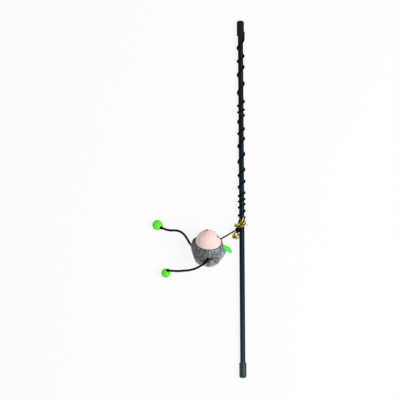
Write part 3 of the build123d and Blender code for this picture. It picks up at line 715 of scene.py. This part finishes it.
def tie_band():
    """The band round rod and cord: a line at one gap over whichever of the two lies further out."""
    a = np.linspace(0, 2 * np.pi, 73)
    out = np.stack([np.cos(a), 0 * a, np.sin(a)], -1)
    by_cord = (out @ CORD_BESIDE + CORD_R > ROD_R)[:, None]
    band = np.where(by_cord, CORD_BESIDE + out * (CORD_R + BAND_GAP), out * (ROD_R + BAND_GAP))
    band[:, 1] = TIE_Y + BAND_LEAN * np.sin(a)
    return ribbons("tie_band", band[None], (0, 1, 0), width=2.4, thickness=0.3, material=HALF_SHADED_FOIL)


def tie_twist():
    """Two strips wound on each other in front: helices along x, half a turn apart."""
    s = np.linspace(0, 1, 40)
    middle = (0, TIE_Y - 0.55, TIE_FRONT + 0.1)
    twist, lean = [], []
    for half in (0, np.pi):
        turn = half + 2 * np.pi * TWIST_TURNS * s
        helix = np.stack([TWIST_LENGTH * (s - 0.5), 0.4 * np.cos(turn), 0.45 * np.sin(turn)], -1)
        twist.append(helix + middle)
        lean.append(np.stack([0 * s, -np.sin(turn), np.cos(turn)], -1))
    return ribbons("tie_twist", np.array(twist), np.array(lean), width=1.8, thickness=0.28,
                   material=HALF_SHADED_FOIL)


def tie_strips(name, material, width, strips):
    """Loose strips on smooth lines, each rolled a little along its length."""
    lines = np.array([smooth_line(np.array(points) + (0, TIE_Y, TIE_FRONT), 12) for points, _ in strips])
    share = np.linspace(0, 1, lines.shape[1])
    roll = np.radians([first + (last - first) * share for _, (first, last) in strips])[..., None]
    aside = unit(np.cross(UP, unit(lines[:, -1] - lines[:, 0])))[:, None]
    across = np.cos(roll) * aside + np.sin(roll) * UP
    return ribbons(name, lines, across, width, thickness=0.26, material=material)


def bell_loop():
    """The small loop of cord from the knot round the wire of the bell's eye, and back: a half outline
    beside the eye, and the same half mirrored."""
    reach = np.linalg.norm(BELL_EYE - KNOT) - LOOP_SHORT
    axis = unit(BELL_EYE - KNOT)
    aside = np.cross(BELL_HINGE, axis)
    half = np.array([(1, -reach), (1, -0.6), (1.05, 0.8), (0.35, 1.22)])
    outline = np.concatenate([half, half[::-1] * (-1, 1)])
    line = smooth_line(BELL_EYE + outline @ np.stack([aside, axis]), 6)
    return skins("bell_loop", ELASTIC, **tubes(line[None], LOOP_R, aside=BELL_HINGE, around=10))


def tight_lead():
    """The tight cord from inside the knot to the stub at the mouse's nape."""
    way = unit(NAPE - KNOT)
    line = smooth_line(np.linspace(KNOT - way * LEAD_IN_KNOT, NAPE + way * LEAD_IN_STUB, 5), 6)
    shape = tubes(line[None], ELASTIC_R, aside=(0.2, 0.9, 0.4), around=12)
    return skins("tight_lead", ELASTIC, **shape), line


# Mouse


def nape_stub():
    """The end of the lead that comes out of the seam: a round stub from inside the ball to the nape, where
    its ball end lets the lead turn; its radius falls as sqrt(R^2 - d^2) past the nape."""
    ball_end = STUB_R * np.sin(np.linspace(0.2, 1.5, 8))
    past = np.concatenate([np.linspace(-NAPE_OUT - STUB_INSIDE, 0, 10), ball_end])
    line = on_mouse(NAPE_WAY * (BODY_R + NAPE_OUT + past)[:, None])
    radius = np.sqrt(STUB_R**2 - np.maximum(past, 0) ** 2)
    return skins("nape_stub", ELASTIC, **tubes(line[None], radius, aside=(0.3, 0.9, 0.2), around=14))


def folds(direction):
    """How deep a direction lies in the waist and in the tuck under the lower leg, each 0 to 1, how far
    below the waist it is, and how much it faces up."""
    world = direction @ MOUSE
    facing = 1 / (1 + np.exp(-9 * (world[..., 2] - 0.1)))
    below = np.interp(world[..., 0], *WAIST.T) - world[..., 1]
    waist = hump(below, 0, WAIST_WIDTH) * hump(world[..., 0], 0.1, 0.66, power=4) * facing
    root = way_out(*LEG_LEFT_SEAT)
    from_tuck = great_arc(direction, root, from_world(TUCK_END))
    tuck = hump(from_tuck, 0, TUCK_WIDTH) * near(direction, root, TUCK_REACH)
    return waist, tuck, below, facing


def gathers(direction):
    """Pleats of the cloth round the seam: -1 in a groove to 1 on a ridge."""
    roll = np.radians(angles(direction)[1])
    return np.sin(26 * roll + 1.7 * np.sin(3 * roll))


def body_radius(direction):
    """The stuffed ball's radius in a direction: its outline over the table, gathers under the seam,
    dimples at the leg roots, a waist, a tuck between full lobes, and soft unevenness all over."""
    polar, roll = angles(direction)
    world = direction @ MOUSE
    turned = np.degrees(np.arctan2(world[..., 1], world[..., 0]))
    at_rim = hump(world[..., 2], 0, 0.5)
    radius = BODY_R - SLACK + (np.interp(turned, *OUTLINE.T, period=360) - BODY_R) * at_rim
    radius += GATHER_RISE * gathers(direction) * np.exp(-(polar - seam_polar(roll)) / GATHER_FADE)
    uneven = np.sin(np.radians(5 * roll) + 0.5) * np.sin(np.radians(2.5 * polar))
    radius += UNEVEN_RISE * uneven * np.sin(np.radians(polar))
    for seat in (LEG_LEFT_SEAT, LEG_RIGHT_SEAT):
        for rise, width in ROOT_SPOTS:
            radius += rise * near(direction, way_out(*seat), width)
    waist, tuck, _, _ = folds(direction)
    radius -= WAIST_DEPTH * waist + TUCK_DEPTH * tuck
    return radius + spots(direction, LOBES)


def painted_body_shading(direction):
    """The cloth's painted light and shade in a direction, 0 dark to 1 pale: painted shade in the folds and on
    the shaded side, painted light below the waist and on the ridges under the seam."""
    polar, roll = angles(direction)
    across = (direction @ MOUSE)[..., 0]
    waist, tuck, below, facing = folds(direction)
    lit = np.clip(1.5 * across, -1, 1)
    lower = facing * np.clip((below - 0.04) / 0.34, 0, 1)
    painted_light_and_shade = TONE_MIDDLE + TONE_LIT * lit + (PAINTED_LIGHT_BELOW + PAINTED_LIGHT_BELOW_LIT * lit) * lower
    by_seam = np.exp(-(polar - seam_polar(roll)) / SEAM_FADE)
    painted_light_and_shade += by_seam * (SEAM_PAINTED_LIGHT * hump(across, 0.2, 0.5) - SEAM_PAINTED_SHADE + GATHER_PAINTED_SHADING * gathers(direction))
    painted_light_and_shade -= PAINTED_SHADE_WAIST * waist * hump(across, 0.18, 0.33) + PAINTED_SHADE_TUCK * tuck
    return np.clip(painted_light_and_shade + spots(direction, PAINTED_LIGHT_SPOTS), 0, 1)


def mouse_body():
    """The grey ball: point = radius(direction) * direction from the tail end up to the seam, then in
    under the face; its painted light and shade is kept beside each point."""
    roll = np.linspace(0, 360, 200, endpoint=False)[None]
    share = np.linspace(0, 1, 130)[:, None]
    out = way_out(TAIL_POLAR + (seam_polar(roll) + UNDER_HEM - TAIL_POLAR) * share, roll)
    ball = out * body_radius(out)[..., None]
    rim = np.stack([ball[-1] * (k, k, 1) - (0, 0, down) for k, down in RIM_TUCK])
    rings = on_mouse(np.concatenate([ball, rim]))
    rings[..., 2] = np.maximum(rings[..., 2], PRESSED)
    low = on_mouse(-UP * body_radius(-UP))
    top = on_mouse((0, 0, SEAM_HEIGHT - 1.6))
    piece = skin("mouse_body", HEATHER, rings, low, top)
    painted_shadings = painted_body_shading(out)
    # Painted shade under the face's hem: the tucked-in rim gets half the last ring's painted light, the top
    # point none
    held = np.concatenate([painted_shadings.ravel(), np.tile(painted_shadings[-1] * 0.5, len(rim)), [painted_shadings[0].mean(), 0.0]])
    piece.data.attributes.new("painted_light_and_shade", "FLOAT", "POINT").data.foreach_set("value", held)
    return piece


def face_profile():
    """The face's half section as radius and height over the seam: a turned-in hem, an arched flank with
    shallow rings where the cloth is eased, and a round tip."""
    s = np.linspace(0, 1, 70)[:, None]
    foot, shoulder = np.array([FACE_R, 0.0]), np.array([SNOUT_R, FACE_HEIGHT - SNOUT_RISE])
    square = unit(np.array([shoulder[1] - foot[1], foot[0] - shoulder[0]]))
    arch = FACE_ARCH * 4 * s * (1 - s) + 0.05 * np.sin(31 * s) * (1 - s)
    flank = foot + (shoulder - foot) * s + square * arch
    a = np.linspace(0, np.pi / 2, 12)[1:-1, None]
    tip = np.concatenate([SNOUT_R * np.cos(a), shoulder[1] + SNOUT_RISE * np.sin(a)], 1)
    hem = np.array([[FACE_R - 0.9, -0.3], [FACE_R - 0.25, -0.15]])
    return np.concatenate([hem, flank, tip])


def mouse_face():
    """The cone of the face: its half section turned round the nose's axis, with puckers by the seam, fuller
    cheeks, a socket round each eye, and a hem that follows the seam."""
    radius, height = face_profile().T[..., None]
    roll = np.linspace(0, 2 * np.pi, 140, endpoint=False)
    up = np.clip(height / FACE_HEIGHT, 0, 1)
    by_hem = np.exp(-8 * up)
    puckers = PUCKER * by_hem * np.sin(33 * roll + np.sin(4 * roll))
    oval = OVAL * np.sin(2 * roll + 1) * (1 - by_hem)
    facing = np.cos(roll + 0.35)
    fuller = CHEEK_BACK * np.clip(facing, 0, 1) + CHEEK_CHIN * np.clip(-facing, 0, 1)
    cheeks = np.sin(np.pi * up) * up**0.3 * fuller
    wide = radius * (1 + puckers + oval) + cheeks
    for side in (-1, 1):
        beside = FACE_R * np.sin((roll - side * math.radians(EYE_SPREAD)) / 2)
        wide = wide - SOCKET_DEPTH * hump(beside, 0, SOCKET_WIDE) * hump(height, EYE_HEIGHT, SOCKET_HIGH)
    out_by, up_by = seam_shift(np.degrees(roll))
    fade = (1 - up) ** 4
    wide = wide + out_by * fade
    rings = np.stack([wide * np.cos(roll), wide * np.sin(roll), height + SEAM_HEIGHT + up_by * fade], -1)
    base, top = on_mouse((0, 0, SEAM_HEIGHT - 0.3)), on_mouse((0, 0, SEAM_HEIGHT + FACE_HEIGHT))
    return skin("mouse_face", PINK, on_mouse(rings), base, top)


def seam_stitches(rng):
    """Overcast stitches: each arches over the seam from the grey rim to the pink hem, leaning a little."""
    even = np.linspace(0, 360, STITCHES, endpoint=False)
    roll = np.radians(even + rng.normal(0, 1.6, STITCHES))[:, None]
    s = np.linspace(0, 1, 7)
    lean = roll + np.radians(rng.normal(2, 2.5, (STITCHES, 1))) * s
    low = SEAM_HEIGHT - rng.uniform(0.6, 1.7, (STITCHES, 1))
    out_by, up_by = seam_shift(np.degrees(lean))
    radius = FACE_R + STITCH_REACH * (1 - s) + 0.25 * np.sin(np.pi * s) + out_by
    height = low + (SEAM_HEIGHT + 0.3 - low) * s + 0.15 * np.sin(np.pi * s) + up_by
    lines = on_mouse(np.stack([radius * np.cos(lean), radius * np.sin(lean), height], -1))
    return skins("seam_stitches", SEAM_THREAD, **tubes(lines, STITCH_R, aside=unit(lines - BODY), around=6))


def stitched_nose():
    """The nose: a flat oval of close thread, its grooves a ripple across the oval."""
    out = ball_ways(26, 40)
    ripple = 1 + 0.05 * np.cos(22 * out[..., :1])
    centre = (SEAM_HEIGHT + FACE_HEIGHT - 0.1) * UP
    pole = NOSE_HALF * UP
    rings = on_mouse(centre + NOSE_HALF * out * ripple)
    return skin("stitched_nose", NOSE_THREAD, rings, on_mouse(centre - pole), on_mouse(centre + pole))


def blunted(wave_value, power):
    """A sine or cosine with its sign kept and its size raised to a power, which squares off an oval."""
    return np.sign(wave_value) * np.abs(wave_value) ** power


def felt_ear(name, side, lifted):
    """A felt leaf: its half width grows from the foot as a quarter sine and closes in a round tip, the
    sides cup up, and the section is a squared-off oval."""
    foot, away = way_out(EAR_POLAR, side * EAR_SPREAD), way_out(EAR_POLAR + 90, side * EAR_SPREAD)
    lift = math.radians(lifted)
    back = away * math.cos(lift) + foot * math.sin(lift)
    out = foot * math.cos(lift) - away * math.sin(lift)
    right = unit(np.cross(back, out))
    t = np.linspace(0, 1, 40)[:, None]
    a = np.linspace(0, 2 * np.pi, 36, endpoint=False)[None]
    half = EAR_FOOT_HALF + (EAR_HALF - EAR_FOOT_HALF) * np.sin(np.pi * np.minimum(t / 0.84, 1) / 2)
    half = half * np.sqrt(np.clip(1 - ((t - 0.42) / 0.59).clip(0) ** 2.4, 0.002, 1))
    across = 0.93 * half * blunted(np.cos(a), 0.8)
    thick = FELT_HALF * np.minimum(1, half / 1.2) * blunted(np.sin(a), 0.55)
    share = across / EAR_HALF
    cup = 1.5 * share**2 * t + 0.3 * np.sin(np.pi * t) + 0.12 * np.sin(9 * t + 2 * share)
    length = EAR_LENGTH * t + 0.15 * np.sin(3 * a) * t
    leaf = right * across[..., None] + back * length[..., None] + out * (thick + cup - 0.1)[..., None]
    rings = on_mouse(foot * (BODY_R + 1.0) + leaf)
    return skin(name, FELT, rings, rings[0].mean(0), rings[-1].mean(0))


def strands(name, free, roots, ways, length, bend, radius, material):
    """Cut strands where there is free room: line = root + way * length * s + bend * s squared, tapering to
    the tip."""
    roots, ways, length, bend = (held[free] for held in (roots, ways, length, bend))
    s = np.array([0.0, 0.4, 0.75, 1.0])
    taper = np.array([1, 0.9, 0.7, 0.35])
    reach = (length[:, None] * s)[..., None]
    lines = roots[:, None] + ways[:, None] * reach + bend[:, None] * (s**2)[:, None]
    lines[..., 2] = np.maximum(lines[..., 2], STRAND_LOWEST)
    aside = np.roll(ways, 1, axis=1)[:, None] + (0.13, 0.07, 0.02)
    shape = tubes(lines, radius * taper, aside, around=3)
    shape["along"] = s
    return skins(name, material, **shape)


def scatter(count, rng):
    """Even directions on a ball by the golden angle, each nudged a little."""
    k = np.arange(count) + 0.5
    z = 1 - 2 * k / count
    turn = k * math.pi * (3 - math.sqrt(5))
    flat = np.sqrt(1 - z**2)
    return unit(np.stack([flat * np.cos(turn), flat * np.sin(turn), z], -1) + rng.normal(0, 0.05, (count, 3)))


def pompom(name, knot, radius, angle, rng):
    """A yarn ball: a lumpy core and strands that stand out of it and bend, parted where the knot
    sits in them."""
    turn = math.radians(angle)
    height = FLOOR + radius + POMPOM_LIFT
    reach = math.sqrt((radius + POMPOM_TO_KNOT) ** 2 - (knot[2] - height) ** 2)
    centre = np.array([knot[0] + reach * math.cos(turn), knot[1] + reach * math.sin(turn), height])
    out = ball_ways(30, 48)
    x, y, z = np.moveaxis(out, -1, 0)
    lumps = 1 + 0.03 * np.sin(9 * x + 2) * np.sin(8 * y) * np.sin(7 * z + 1)
    core_r = POMPOM_CORE * radius
    core = skin(name + "_core", LIME_YARN, centre + core_r * out * lumps[..., None], centre - core_r * UP,
                centre + core_r * UP, along=0.4)
    ways = scatter(POMPOM_STRANDS, rng)
    roots = centre + ways * radius * POMPOM_ROOTS
    length = radius * rng.uniform(0.08, 0.22, len(ways))
    bend = rng.normal(0, POMPOM_BEND * radius, (len(ways), 3))
    lean = unit(ways + rng.normal(0, 0.25, ways.shape))
    free = ways @ unit(knot - centre) < math.cos(math.radians(KNOT_PARTING))
    tips = strands(name + "_yarn", free, roots, lean, length, bend, POMPOM_STRAND_R, LIME_YARN)
    return core, tips


def body_fuzz(rng):
    """Short loose fibres on the grey cloth, left out on the table and under the face's hem."""
    ways = scatter(FUZZ_STRANDS, rng)
    ways = ways[ways[:, 2] < math.cos(math.radians(SEAM_POLAR + FUZZ_UNDER_SEAM))]
    roots = on_mouse(ways * (body_radius(ways) - 0.15)[:, None])
    off_table = roots[:, 2] > FLOOR + FUZZ_OVER_TABLE
    ways, roots = ways[off_table], roots[off_table]
    lean = unit(ways @ MOUSE + rng.normal(0, 0.55, ways.shape))
    length = rng.uniform(0.6, 1.4, len(roots))
    bend = rng.normal(0, 0.22, ways.shape)
    polar, roll = angles(ways)
    free = polar > seam_polar(roll) + FUZZ_UNDER_SEAM
    return strands("body_fuzz", free, roots, lean, length, bend, FUZZ_R, GREY_FUZZ)


def leg(name, seat, route):
    """A leg's limp cord on the route's smooth line, from inside the body into the knot."""
    out = way_out(*seat)
    start = [on_mouse(out * (BODY_R - LEG_IN)), on_mouse(out * (BODY_R + LEG_OUT))]
    line = smooth_line(np.concatenate([start, beside_body(route)]), 8)
    line[:, 2] = np.maximum(line[:, 2], FLOOR + LEG_R)
    gone = run(line)
    kept = np.linspace(0, gone[-1] - LEG_END_SHORT, len(line))
    line = np.stack([np.interp(kept, gone, line[:, axis]) for axis in range(3)], -1)
    return skins(name, LEG_CORD, **tubes(line[None], LEG_R, aside=(0.3, 0.5, 0.81), around=16)), line


# Assembly


def fit(piece, body, slot, *solids):
    """Lets a piece ride on its body in place of the named solids; `slot` is not used."""
    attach(piece, body)
    if solids:
        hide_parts(*solids)


def dress_solids():
    """The rigid solids stay, with better materials."""
    for node, material in SOLID_LOOKS.items():
        for slot in NODES[node].material_slots:
            slot.material = material


def dress_wand():
    """The winding and its knot, the bell's loop and the tie."""
    winding, line = wound_elastic()
    knot = knotted("elastic_knot", KNOT + KNOT_MIDDLE, KNOT_SIZE, KNOT_CORD_R, KNOT_WAYS, ELASTIC)
    loop = bell_loop()
    fit(winding, "wand", "cord", "cord_winding")
    fit(knot, "wand", "cord", "cord_knot")
    fit(loop, "wand", "cord", "bell_hanger")
    fit(tie_band(), "wand", "tie", "twist_tie")
    fit(tie_twist(), "wand", "tie")
    for strips in TIE_STRIPS:
        fit(tie_strips(*strips), "wand", "tie")
    run(line)[-1] * MM


def dress_lead():
    """The tight lead between knot and mouse."""
    lead, line = tight_lead()
    fit(lead, "lead", "cord", "cord_lead")


def dress_mouse(rng):
    """The ball, the face and what is sewn to them."""
    body, face = mouse_body(), mouse_face()
    fit(body, "mouse", "grey_cloth", "body_cover", "stuffing", "leg_left_anchor", "leg_right_anchor")
    fit(face, "mouse", "pink_cloth", "face_cover")
    fit(seam_stitches(rng), "mouse", "thread", "seam_thread")
    fit(stitched_nose(), "mouse", "nose", "nose")
    fit(body_fuzz(rng), "mouse", "grey_cloth")
    fit(nape_stub(), "mouse", "cord", "lead_anchor")


def dress_ears():
    """Both felt ears."""
    for name, side, lifted in EARS:
        fit(felt_ear(f"felt_ear_{name}", side, lifted), f"ear_{name}_body", "felt", f"ear_{name}")


def dress_leg(name, seat, route, ball, rng):
    """A leg's cord with its knot and pompom."""
    cord, line = leg(f"leg_{name}", seat, route)
    end = beside_body(route[-1])
    ways = unit([[1, 0, 0.3], [0, 1, 0.3], [-0.3, -0.3, 1]])
    tied = knotted(f"foot_knot_{name}", end, FOOT_KNOT_SIZE, FOOT_CORD_R, ways, LEG_CORD)
    core, tips = pompom(f"pompom_{name}_ball", end, *ball, rng)
    fit(cord, f"leg_{name}", "cord", f"leg_{name}_cord")
    fit(tied, f"pompom_{name}_body", "cord", f"leg_{name}_knot")
    fit(core, f"pompom_{name}_body", "yarn", f"pompom_{name}")
    fit(tips, f"pompom_{name}_body", "yarn")
    run(line)[-1] * MM


# Studio, in metres: a white table, even room light, a broad lamp from the right and a camera straight above
TABLE_HALF, TABLE_DROP = 12.0, 0.00005
TABLE_GREY = (0.9, 0.9, 0.9, 1)
TABLE_PLAIN = 0.88
ROOM_LIGHT = 0.52
LAMP_WIDE, LAMP_LONG, LAMP_POWER = 0.7, 0.9, 10.6
LAMP_PLACE = (0.66, 0.0, 0.95)
LAMP_TILT = np.radians([9.0, 34.0, 0.0])
CAMERA_X, CAMERA_Y, CAMERA_HEIGHT = -0.0473, 0.2026, 6.0
CAMERA_TURN = math.radians(-0.42)
SENSOR_WIDTH, VIEW_WIDTH, VIEW_END = 36.0, 0.4544, 20.0


def seen_ray(tree):
    """1 where the camera looks, also in a reflection or through glass, and 0 for other light."""
    ray = put(tree, "ShaderNodeLightPath").outputs
    mirrored = reckon(tree, "MAXIMUM", ray["Is Glossy Ray"], ray["Is Transmission Ray"])
    return reckon(tree, "MAXIMUM", ray["Is Camera Ray"], mirrored)


def stand(name, data, place=(0, 0, 0), turned=(0, 0, 0)):
    """A studio object at its place."""
    thing = bpy.data.objects.new(name, data)
    thing.location = place
    thing.rotation_euler = turned
    bpy.context.scene.collection.objects.link(thing)
    return thing


def table_top():
    """A wide white table: what the camera sees of it is mostly plain white, the rest takes the shadow."""
    material, tree, shader = finish_of("white_table", Base_Color=TABLE_GREY, Roughness=0.9,
                                       Specular_IOR_Level=0.0)
    white = put(tree, "ShaderNodeEmission", Color=(1, 1, 1, 1), Strength=1.0)
    share = reckon(tree, "MULTIPLY", seen_ray(tree), TABLE_PLAIN)
    both = put(tree, "ShaderNodeMixShader", i0=share, i1=shader.outputs[0], i2=white.outputs[0])
    tree.links.new(both.outputs[0], tree.nodes["Material Output"].inputs["Surface"])
    x, z = TABLE_HALF, FLOOR * MM - TABLE_DROP
    mesh = bpy.data.meshes.new("table_top")
    mesh.from_pydata([(-x, -x, z), (x, -x, z), (x, x, z), (-x, x, z)], [], [(0, 1, 2, 3)])
    mesh.materials.append(material)
    stand("table_top", mesh)


def room_light():
    """Even light from a room that looks plain white."""
    world = bpy.data.worlds.new("white_room")
    bpy.context.scene.world = world
    world.use_nodes = True
    tree = world.node_tree
    background = tree.nodes["Background"].inputs
    tree.links.new(span(tree, seen_ray(tree), 0.0, 1.0, ROOM_LIGHT, 1.0), background["Strength"])
    background["Color"].default_value = (1, 1, 1, 1)


def broad_lamp():
    """A soft lamp from the right."""
    lamp = bpy.data.lights.new("broad_lamp", "AREA")
    lamp.shape = "RECTANGLE"
    lamp.size, lamp.size_y = LAMP_WIDE, LAMP_LONG
    lamp.energy = LAMP_POWER
    stand("broad_lamp", lamp, LAMP_PLACE, LAMP_TILT)


def camera_above():
    """The camera, straight above and far away, with the photograph's width of view on the table."""
    camera = bpy.data.cameras.new("camera")
    camera.lens = SENSOR_WIDTH * CAMERA_HEIGHT / VIEW_WIDTH
    camera.clip_end = VIEW_END
    place = (CAMERA_X, CAMERA_Y, CAMERA_HEIGHT)
    bpy.context.scene.camera = stand("camera", camera, place, (0, 0, CAMERA_TURN))


draws = np.random.default_rng(7)
dress_solids()
dress_wand()
dress_lead()
dress_mouse(draws)
dress_ears()
dress_leg("left", LEG_LEFT_SEAT, LEG_LEFT_ROUTE, POMPOM_LEFT, draws)
dress_leg("right", LEG_RIGHT_SEAT, LEG_RIGHT_ROUTE, POMPOM_RIGHT, draws)
table_top()
room_light()
broad_lamp()
camera_above()
bpy.context.scene.view_settings.view_transform = "Standard"
